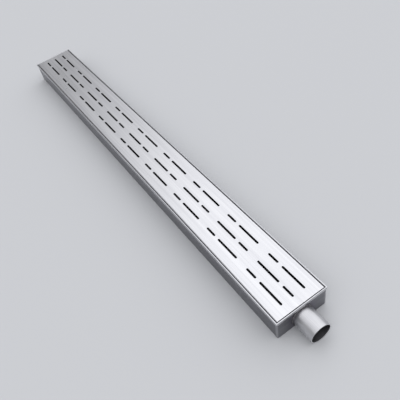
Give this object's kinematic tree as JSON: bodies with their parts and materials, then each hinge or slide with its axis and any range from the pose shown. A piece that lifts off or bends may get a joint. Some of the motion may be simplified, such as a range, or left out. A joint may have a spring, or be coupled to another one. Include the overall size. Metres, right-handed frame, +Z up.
{
  "type": "linear drain",
  "caption": "Long shallow channel drain with a hemmed rim, a folded slotted cover resting on cross bridges and a round horizontal outlet stub at one end.",
  "frame": {"origin": "middle of the channel's underside, under the crossing of the rim's two centre lines", "axes": "+X along the channel and out of the outlet, +Y across it, +Z up out of the cover"},
  "size_m": [1.0384, 0.1, 0.048],
  "materials": {
    "channel_sheet": "rolled stainless sheet, fine grain along the channel",
    "outlet_tube": "polished stainless tube, faint grain round the bore",
    "weld_bead": "rippled weld bead, lightly tinted",
    "cover_sheet": "satin brushed along its length",
    "support_strip": "plain rolled stainless strip"
  },
  "bodies": {
    "root": {"channel_trough": "channel_sheet", "outlet_end_plate": "channel_sheet", "closed_end_plate": "channel_sheet", "outlet_pipe": "outlet_tube", "outlet_weld": "weld_bead", "cover_grate": "cover_sheet", "cover_support_1": "support_strip", "cover_support_2": "support_strip", "cover_support_3": "support_strip", "cover_support_4": "support_strip"}
  },
  "joints": []
}
